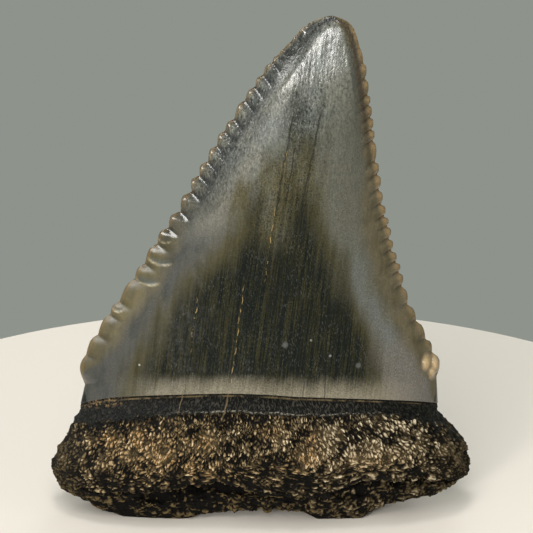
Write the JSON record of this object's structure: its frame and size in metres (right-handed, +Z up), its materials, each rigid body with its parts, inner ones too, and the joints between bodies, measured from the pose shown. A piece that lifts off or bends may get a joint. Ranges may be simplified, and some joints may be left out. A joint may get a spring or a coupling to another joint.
{
  "type": "fossil great white shark tooth",
  "caption": "Fossil great white shark tooth with a triangular serrated crown leaning to one side, on a rough dark root that it stands on.",
  "frame": {"origin": "middle of the tooth's bounding box, on the surface that the root stands on", "axes": "+Z up from the root to the tip, X across the tooth from one cutting edge to the other with the tip leaning to +X, -Y out of the domed tongue side, +Y out of the flatter lip side"},
  "size_m": [0.035, 0.01, 0.0445],
  "materials": {
    "enamel": "polished fossil enamel, dark olive grey with paler honey edges",
    "root_bone": "rough dark brown fossil bone with tan grains"
  },
  "bodies": {
    "root": {"tooth": "enamel"}
  },
  "joints": []
}
